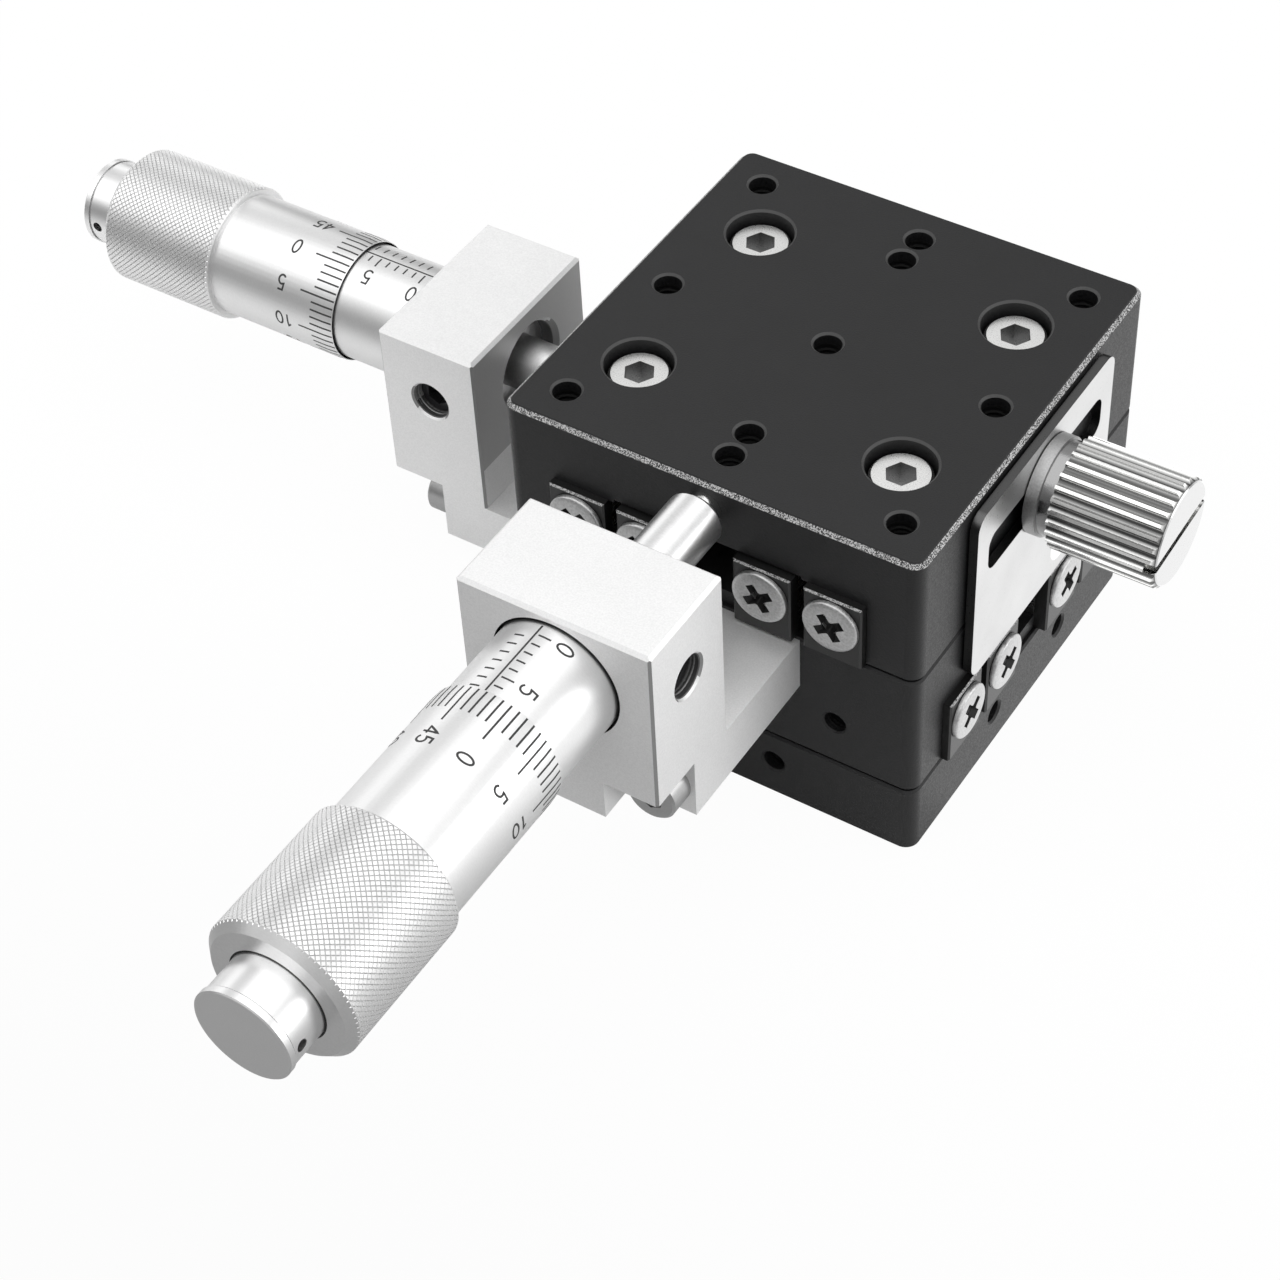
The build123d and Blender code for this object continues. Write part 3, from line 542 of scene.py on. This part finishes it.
# Painted shade: the threads of the set screw bores are a dark grey.
shaded_thread_grey = finish("shaded_blasted_threads", colour=(0.2, 0.2, 0.2), roughness=0.45, metallic=0.4, grain=0.1,
                     shade=0.1)
dress(pocket_screw, "front_bracket_screws", "left_bracket_screws")
dress(black_oxide, "front_bracket_set_screw", "left_bracket_set_screw")
axis_z = 31.92
bracket_low, bracket_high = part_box("front_bracket")
bracket_side = bracket_high[0] / mm
bracket_outer = -bracket_low[1] / mm
bracket_inner = 31.6
foot_drop = 6.4
mouth_radius = 5.9
mouth_depth = 0.85
exit_radius = 4.25
exit_depth = 1.75
set_screw_reach = 36.85
set_screw_bore = 1.85
corner_lean = 0.7
heads = (("front", level, "carriage_unit"), ("left", lower_place, "base_unit"))
head_axis = {"front": ("Y", axis_z), "left": ("X", axis_z - layer_pitch)}


def round_axis(tree, lengthwise, height):
    """Where a spot lies round a level axis, in mm: along it, across it, above it and away from it."""
    spot_x, spot_y, spot_z = where(tree)
    along, across = (spot_x, spot_y) if lengthwise == "X" else (spot_y, spot_x)
    above = maths(tree, "SUBTRACT", spot_z, height)
    return along, across, above, distance(tree, across, above)


for head, place, still in heads:
    blasted = finish(head + "_blasted_clear_anodised", colour=(0.8, 0.8, 0.8), roughness=0.45, metallic=0.6,
                     grain=0.15, shade=0.05, gloss=0.05, relief=0.08, cloud=0.01)
    tree = blasted.node_tree
    face_x, face_y, _ = facing(tree)
    along, across, above, from_axis = round_axis(tree, *head_axis[head])
    upright_edge_reflection = product(tree, size_near(tree, face_x, corner_lean, 0.15),
                            size_near(tree, face_y, corner_lean, 0.15))
    mouth = product(tree, maths(tree, "LESS_THAN", from_axis, mouth_radius),
                    maths(tree, "LESS_THAN", along, mouth_depth - bracket_outer))
    spindle_exit_shade = product(tree, maths(tree, "LESS_THAN", from_axis, exit_radius),
                           maths(tree, "GREATER_THAN", along, -bracket_inner - exit_depth))
    off_bore = distance(tree, maths(tree, "ADD", along, set_screw_reach), above)
    bore_side = maths(tree, "MULTIPLY", across, 1 if head == "front" else -1)
    bore = product(tree, maths(tree, "LESS_THAN", off_bore, set_screw_bore + 0.08),
                   maths(tree, "COMPARE", bore_side, (bracket_side + mouth_radius) / 2,
                         (bracket_side - mouth_radius) / 2 - 0.05))
    # Painted dark reflection: the vertical corners of the block are painted darker.
    tint_part(blasted, upright_edge_reflection, grey=0.3)
    # Painted shade: the mouth of the bore round the sleeve is painted near black.
    tint_part(blasted, mouth, grey=0.01)
    # Painted shade: the recess where the spindle leaves is painted darker.
    tint_part(blasted, spindle_exit_shade, grey=0.12)
    # Painted shade: the bore of the set screw is painted darker.
    tint_part(blasted, bore, grey=0.1)
    # Painted shade: the left block's inner face, towards the stage, is painted darker.
    if head == "left":
        inner_face_shade = product(tree, maths(tree, "GREATER_THAN", face_x, 0.9),
                             maths(tree, "GREATER_THAN", above, -foot_drop))
        tint_part(blasted, inner_face_shade, grey=0.46)
    dress(blasted, head + "_bracket")
    tapped_threads(head + "_set_screw_threads", [((bracket_side, -set_screw_reach, axis_z), (-1, 0, 0))],
                   radius=set_screw_bore, pitch=0.3, start=0.35, end=1.25, body=still,
                   material=shaded_thread_grey, place=place)

# Micrometer sleeves. Satin-chromed steel barrels clamped in the brackets, with a datum line, a
# tick for each millimetre on one side of it and for each half on the other. The marks are
# engraved and filled with dark grey.
ring_stretch = {"front": (0.3, 1, 0.3), "left": (1, 0.3, 0.3)}
satin_chrome = {head: finish(head + "_satin_chrome", colour=(0.78, 0.78, 0.78), roughness=0.35, metallic=1.0,
                             grain=0.08, stretch=stretch, shade=0.025, gloss=0.01, relief=0.004, cloud=0.01)
                for head, stretch in ring_stretch.items()}
engraving = finish("dark_grey_filling", colour=(0.025, 0.025, 0.025), roughness=0.6, grain=0.1, shade=0.3,
                   relief=0.1)
travel = 13
sleeve_radius = 5.65
scale_zero = 43.29
datum_start = 42.3
datum_end = 57.5
datum_angle = -6.4
whole_tick = (2.9, 11.0)
fifth_tick = (2.9, 14.5)
half_tick = (-7.6, -17.1)
sleeve_number_angle = 21.5
sleeve_digit_height = 1.5
mark_rise = 0.008
mark_root = 0.03
line_width = 0.16
stroke_width = 1.15 * line_width
digit_width = 0.6
digit_spacing = 0.72


def arc(middle_x, middle_y, half_width, half_height, start, end, step):
    """Points on a part of an oval, from one angle to another."""
    return [(middle_x + half_width * math.cos(math.radians(turn)),
             middle_y + half_height * math.sin(math.radians(turn))) for turn in range(start, end - 1, -step)]


digit_strokes = {
    "0": arc(0.3, 0.5, 0.26, 0.47, 90, -270, 20),
    "1": [(0.12, 0.76), (0.34, 0.97), (0.34, 0.03)],
    "2": arc(0.3, 0.72, 0.24, 0.25, 170, -30, 20) + [(0.05, 0.03), (0.56, 0.03)],
    "3": arc(0.28, 0.74, 0.22, 0.23, 150, -90, 20) + arc(0.28, 0.27, 0.26, 0.24, 80, -150, 23),
    "4": [(0.57, 0.3), (0.04, 0.3), (0.42, 0.97), (0.42, 0.03)],
    "5": [(0.52, 0.97), (0.14, 0.97), (0.1, 0.55)] + arc(0.29, 0.32, 0.26, 0.29, 120, -150, 22),
}


def round_way(angle):
    """The distance round the sleeve at an angle from the top."""
    return math.radians(angle) * sleeve_radius


def fine_points(points, step=0.2, breaks=()):
    """The points of a line with more between them, so that it can follow a curved surface."""
    result = [points[0]]
    for (s0, u0), (s1, u1) in zip(points, points[1:]):
        count = max(1, math.ceil(math.hypot(s1 - s0, u1 - u0) / step))
        shares = {number / count for number in range(1, count + 1)}
        if s1 != s0:
            shares |= {(place - s0) / (s1 - s0) for place in breaks if 0 < (place - s0) / (s1 - s0) < 1}
        result += [(s0 + (s1 - s0) * share, u0 + (u1 - u0) * share) for share in sorted(shares)]
    return result


def engrave(corners, faces, points, width, radius_at):
    """Add one engraved line: (station, distance round) points drawn on a turned surface."""
    closed = math.dist(points[0], points[-1]) < 1e-6
    if closed:
        points = points[:-1]
    count = len(points)
    first = len(corners)
    for number, (s, u) in enumerate(points):
        runs = []
        if number or closed:
            runs.append(Vector((s, u)) - Vector(points[number - 1]))
        if number + 1 < count or closed:
            runs.append(Vector(points[(number + 1) % count]) - Vector((s, u)))
        along = (runs[0].normalized() + runs[-1].normalized()).normalized()
        miter = min(1.6, 1 / max(0.3, along.dot(runs[0].normalized())))
        across = Vector((-along.y, along.x)) * width / 2 * miter
        for side, reach in ((1, mark_rise), (1, -mark_root), (-1, -mark_root), (-1, mark_rise)):
            station = s + side * across.x
            angle = (u + side * across.y) / sleeve_radius
            radius = radius_at(station) + reach
            corners.append((radius * math.sin(angle), -station, axis_z + radius * math.cos(angle)))
    last = first + 4 * (count - 1)
    for start in range(first, last, 4):
        faces += band(start, start + 4, 4)
    if closed:
        faces += band(last, first, 4)
    else:
        faces += [tuple(range(first, first + 4)), tuple(range(last, last + 4))]


def engrave_number(corners, faces, number, station, angle, height, radius_at):
    """Add a number that reads along the axis, centred on an angle, its first digit nearest the stage."""
    for place, digit in enumerate(str(number)):
        points = [(station + height * (x + place * digit_spacing), round_way(angle) + height * (y - 0.5))
                  for x, y in digit_strokes[digit]]
        engrave(corners, faces, fine_points(points), stroke_width, radius_at)


def sleeve_radius_at(station):
    """The sleeve is the same size all along."""
    return sleeve_radius


for head, place, still in heads:
    dress(satin_chrome[head], head + "_sleeve")
    corners, faces = [], []
    datum = round_way(datum_angle)
    engrave(corners, faces, fine_points([(datum_start, datum), (datum_end, datum)]), line_width,
            sleeve_radius_at)
    for half in range(2 * travel + 1):
        station = scale_zero + half / 2
        tick = half_tick if half % 2 else whole_tick if half % 10 else fifth_tick
        line = [(station, round_way(datum_angle + angle)) for angle in tick]
        engrave(corners, faces, fine_points(line), line_width, sleeve_radius_at)
    for number in (0, 5, 10):
        width = digit_width * sleeve_digit_height * len(str(number))
        engrave_number(corners, faces, number, scale_zero + number - width / 2, sleeve_number_angle,
                       sleeve_digit_height, sleeve_radius_at)
    new_piece(head + "_sleeve_scale", corners, faces, still, engraving, place)

# Spindles, nuts and lead screws. The spindle is ground and polished steel and pushes on a steel
# anvil in the stage. The bronze nut sits in the end of the sleeve, round the lead screw.
nut_bronze = finish("turned_bronze", colour=(0.55, 0.38, 0.2), roughness=0.35, metallic=1.0, grain=0.1,
                    shade=0.12)
for head, stretch in ring_stretch.items():
    polished = finish(head + "_polished_spindle", colour=(0.78, 0.78, 0.78), roughness=0.33, metallic=1.0,
                      grain=0.08, stretch=stretch, shade=0.06, gloss=0.03, relief=0.01, cloud=0.02)
    dress(polished, head + "_spindle", head + "_lead_screw")
    dress(nut_bronze, head + "_nut")
dress(roller_steel, "upper_anvil", "lower_anvil")

# Thimbles. Turned from steel and satin chromed, with fifty engraved divisions round the bevelled
# front edge, a number at every fifth, and a diamond-knurled grip with flat-topped diamonds. A
# shallow groove parts the grip from the graduated end.
divisions = 50
zero_angle = 19.6
thimble_low, thimble_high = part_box("front_thimble")
thimble_start = -thimble_high[1] / mm
knurl_end = -thimble_low[1] / mm
bevel_end = 51.22
bore_radius = 5.72
hub_radius = 2.075
end_wall = 2.5
mouth_edge = 5.87
mouth_reach = 0.5
lip_radius = 5.93
thimble_radius = 6.0
groove_width = 0.2
groove_slope = 0.05
groove_depth = 0.06
knurl_start = 64.65
knurl_radius = 6.65
knurl_count = 76
knurl_depth = 0.13
front_edge = 0.2
rear_edge = 0.7
flat_share = 0.28
division_start = 0.08
short_tick_end = 52.8
long_tick_end = 54.2
one_digit_start = 56.0
two_digit_start = 55.0
thimble_digit_height = 1.42


def thimble_radius_at(station):
    """The thimble's outside radius over its graduated part."""
    share = max(0, min(1, (station - thimble_start) / (bevel_end - thimble_start)))
    return lip_radius + (thimble_radius - lip_radius) * share


def thimble_mesh():
    """The turned thimble with its knurl. The rings have three corners to each groove."""
    step = 2 * math.pi / knurl_count
    columns = [(number + share) * step for number in range(knurl_count)
               for share in (0, flat_share / 2, 1 - flat_share / 2)]
    corners, faces = [], []

    def spot(station, radius, angle):
        corners.append((radius * math.sin(angle), -station, axis_z + radius * math.cos(angle)))
        return len(corners) - 1

    def ring(station, radius, root_radius=None):
        for number, angle in enumerate(columns):
            spot(station, root_radius if root_radius and number % 3 == 0 else radius, angle)
        return len(corners) - len(columns)

    root = knurl_radius - knurl_depth
    groove_radius = thimble_radius - groove_depth
    knurl_from = knurl_start + front_edge
    knurl_to = knurl_end - rear_edge
    front = [ring(station, radius) for station, radius in (
        (knurl_end - end_wall, hub_radius), (knurl_end - end_wall, bore_radius),
        (thimble_start + mouth_reach, bore_radius), (thimble_start, mouth_edge),
        (thimble_start, lip_radius), (bevel_end, thimble_radius),
        (knurl_start - groove_width - groove_slope, thimble_radius),
        (knurl_start - groove_width, groove_radius), (knurl_start, groove_radius),
        (knurl_start, knurl_radius - front_edge), (knurl_from - knurl_depth, root))]
    front.append(ring(knurl_from, knurl_radius, root))
    rear = [ring(knurl_to, knurl_radius, root), ring(knurl_to + knurl_depth, root),
            ring(knurl_end, knurl_radius - rear_edge), ring(knurl_end, hub_radius)]
    for near, far in [*zip(front, front[1:]), *zip(rear, rear[1:]), (rear[-1], front[0])]:
        faces += band(near, far, len(columns))

    # The knurl's grooves cross at every other place of a grid, and a diamond stands at the rest
    rows = round((knurl_to - knurl_from) / (knurl_radius * step))
    row_half = (knurl_to - knurl_from) / rows / 2
    column_half = step / 2
    grid = [(row, column) for row in range(2 * rows + 1) for column in range(2 * knurl_count)]
    edge_rings = {0: front[-1], 2 * rows: rear[0]}
    crossings = {}
    for row, column in grid:
        if (row + column) % 2 == 0:
            crossings[row, column] = (edge_rings[row] + column // 2 * 3 if row in edge_rings else
                                      spot(knurl_from + row * row_half, root, column * column_half))
    keep = 1 - flat_share
    for row, column in grid:
        if (row + column) % 2 == 0:
            continue
        station, angle = knurl_from + row * row_half, column * column_half
        west = crossings[row, (column - 1) % (2 * knurl_count)]
        east = crossings[row, (column + 1) % (2 * knurl_count)]
        if row in edge_rings:
            inward = 1 if row == 0 else -1
            beyond = crossings[row + inward, column]
            top = edge_rings[row] + (column - 1) // 2 * 3 + 1
            peak = spot(station + inward * keep * row_half, knurl_radius, angle)
            faces += [(top, top + 1, peak), (west, top, peak, beyond), (top + 1, east, beyond, peak)]
            continue
        south, north = crossings[row - 1, column], crossings[row + 1, column]
        top_west = spot(station, knurl_radius, angle - keep * column_half)
        top_east = spot(station, knurl_radius, angle + keep * column_half)
        top_south = spot(station - keep * row_half, knurl_radius, angle)
        top_north = spot(station + keep * row_half, knurl_radius, angle)
        faces += [(top_west, top_south, top_east, top_north), (west, south, top_south, top_west),
                  (south, east, top_east, top_south), (east, north, top_north, top_east),
                  (north, west, top_west, top_north)]
    return corners, faces


for head, place, still in heads:
    corners, faces = thimble_mesh()
    thimble = new_piece(head + "_knurled_thimble", corners, faces, head + "_thimble_unit",
                        satin_chrome[head], place)
    # Painted shade: the thimble's bore and its flared mouth take the dark recess shade.
    thimble.data.materials.append(painted_recess_shade)
    ring_faces = 3 * knurl_count
    for face in thimble.data.polygons[ring_faces:3 * ring_faces]:
        face.material_index = 1
    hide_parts(head + "_thimble")
    corners, faces = [], []
    for division in range(divisions):
        around = round_way(zero_angle + division * 360 / divisions)
        end = short_tick_end if division % 5 else long_tick_end
        line = fine_points([(thimble_start + division_start, around), (end, around)], 0.5, (bevel_end,))
        engrave(corners, faces, line, line_width, thimble_radius_at)
    for number in range(0, divisions, 5):
        engrave_number(corners, faces, number, one_digit_start if number < 10 else two_digit_start,
                       zero_angle + number * 360 / divisions, thimble_digit_height, thimble_radius_at)
    new_piece(head + "_thimble_scale", corners, faces, head + "_thimble_unit", engraving,
              place)

# End caps. Turned bright on the outside, with a rim round a flat face and a small cross hole for
# the pin that turns them. Painted shade makes a dark seam round each cap, on its thimble's rear face.
seam_radius = 4.3
for head, place, still in heads:
    tree = satin_chrome[head].node_tree
    along, _, _, from_axis = round_axis(tree, *head_axis[head])
    # Painted shade: the thimble's rear face round the cap is painted near black, as a dark seam.
    seam_shade = product(tree, maths(tree, "LESS_THAN", from_axis, seam_radius),
                   maths(tree, "LESS_THAN", along, 0.1 - knurl_end))
    tint_part(satin_chrome[head], seam_shade, grey=0.01)
cap_steel = finish("turned_cap_steel", colour=(0.78, 0.78, 0.78), roughness=0.3, metallic=1.0, grain=0.09,
                   shade=0.02, gloss=0.01, relief=0.002, cloud=0.01)
dress(cap_steel, "front_end_cap", "left_end_cap")

# Clamp plates. Bright stainless sheet with a long slot that the clamp stud runs in, held by two
# countersunk screws behind the knob's lower edge. Its cut edges are painted dark as shade.
stainless = finish("satin_stainless_sheet", colour=(0.57, 0.57, 0.57), roughness=0.3, metallic=1.0,
                   grain=0.1, stretch=(1, 1, 0.3), shade=0.02, gloss=0.03, relief=0.01)
tree = stainless.node_tree
face_x, face_y, _ = facing(tree)
broad = maths(tree, "MAXIMUM", maths(tree, "ABSOLUTE", face_x), maths(tree, "GREATER_THAN", face_y, 0.9))
# Painted shade: the cut edges, which face neither side of the sheet, are painted dark.
tint_part(stainless, maths(tree, "LESS_THAN", broad, 0.5), grey=0.1)
dress(stainless, "upper_clamp_plate", "lower_clamp_plate")
dress(bright_screw, "upper_clamp_plate_screws", "lower_clamp_plate_screws")

# Clamp knobs and washers. Fluted nickel-plated knobs, slotted for a screwdriver, turned in one
# piece with their neck and threaded stud. A thick washer bears on the clamp plate.
knob_axis = 28.18
knob_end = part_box("upper_clamp_knob")[1][0] / mm
neck_radius = 4.3
neck_end = 23.38
flute_root = 4.64
flute_top = 4.9
for slide, lengthwise, height in (("upper", "X", knob_axis), ("lower", "Y", knob_axis - layer_pitch)):
    nickel = finish(slide + "_bright_nickel_plate", colour=(0.8, 0.8, 0.79), roughness=0.17, metallic=1.0,
                    grain=0.12, shade=0.08, gloss=0.05, relief=0.05)
    tree = nickel.node_tree
    along, _, _, from_axis = round_axis(tree, lengthwise, height)
    along = maths(tree, "ABSOLUTE", along)
    depth = maths(tree, "DIVIDE", maths(tree, "SUBTRACT", flute_top, from_axis), flute_top - flute_root)
    flute_shade = product(tree, maths(tree, "GREATER_THAN", from_axis, neck_radius + 0.1),
                     maths(tree, "MINIMUM", maths(tree, "MAXIMUM", depth, 0), 1))
    neck = product(tree, maths(tree, "LESS_THAN", from_axis, neck_radius),
                   maths(tree, "LESS_THAN", along, neck_end))
    # Painted shade: the flutes darken towards their roots.
    tint_part(nickel, flute_shade, grey=0.07)
    # Painted shade: the slotted end face is painted darker, to tone down its highlight.
    tint_part(nickel, maths(tree, "GREATER_THAN", along, knob_end - 0.1), grey=0.56)
    # Painted shade: the neck is painted darker.
    tint_part(nickel, neck, grey=0.3)
    dress(nickel, slide + "_clamp_knob")
washer_steel = finish("satin_washer_steel", colour=(0.4, 0.4, 0.4), roughness=0.42, metallic=1.0, grain=0.16,
                      shade=0.14)
dress(washer_steel, "upper_clamp_washer", "lower_clamp_washer")

# Return springs. Closely wound extension springs of music wire, hooked over two steel pins, pull
# each slide back against its spindle.
spring_z = 25.475
pin_y = 14.5
wire_radius = 0.25
wire_sides = 8
coil_radius = 1.45
coil_turns = 48
coil_steps = 20
loop_radius = 1.25
loop_step = 15
spring_wire = finish("music_wire", colour=(0.5, 0.5, 0.5), roughness=0.28, metallic=1.0, grain=0.1,
                     shade=0.1)
dress(roller_steel, "upper_spring_anchor_pin", "lower_spring_anchor_pin", "upper_spring_pull_pin",
      "lower_spring_pull_pin")


def end_loop(start, end, middle_y):
    """The wire's loop round a pin, from one angle to another."""
    angles = [math.radians(angle) for angle in range(start, end, loop_step)]
    return [(loop_radius * math.sin(angle), middle_y + loop_radius * math.cos(angle), 0) for angle in angles]


def spring_line():
    """The middle line of the spring's wire: a loop, the closed coils and the other loop."""
    coil_half = pin_y - loop_radius - wire_radius
    points = end_loop(-330, 0, -pin_y)
    for step in range(coil_turns * coil_steps + 1):
        angle = 2 * math.pi * step / coil_steps
        share = step / (coil_turns * coil_steps)
        radius = coil_radius * min(1, 8 * share, 8 * (1 - share))
        points.append((radius * math.sin(angle), coil_half * (2 * share - 1), radius * math.cos(angle)))
    points += end_loop(195, 525, pin_y)
    return [Vector((x, y, z + spring_z)) for x, y, z in points]


def wire_tube(points):
    """A round wire along a line."""
    corners, faces = [], []
    normal = Vector((0, 0, 1))
    for before, point, after in zip([points[0]] + points, points, points[1:] + [points[-1]]):
        along = (after - before).normalized()
        normal = (normal - along * normal.dot(along)).normalized()
        other = along.cross(normal)
        for side in range(wire_sides):
            angle = 2 * math.pi * side / wire_sides
            corners.append(point + wire_radius * (math.cos(angle) * normal + math.sin(angle) * other))
    for number in range(len(points) - 1):
        faces += band(number * wire_sides, (number + 1) * wire_sides, wire_sides)
    faces += [tuple(range(wire_sides)), tuple(range(len(corners) - wire_sides, len(corners)))]
    return corners, faces


for slide, place, still, moving in slides:
    corners, faces = wire_tube(spring_line())
    mesh = bpy.data.meshes.new(slide + "_coil_spring")
    mesh.from_pydata([place @ (corner * mm) for corner in corners], [], faces)
    mesh.polygons.foreach_set("use_smooth", [True] * len(mesh.polygons))
    mesh.materials.append(spring_wire)
    spring = bpy.data.objects.new(slide + "_coil_spring", mesh)
    bpy.context.collection.objects.link(spring)
    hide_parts(slide + "_return_spring")
    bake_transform(spring)
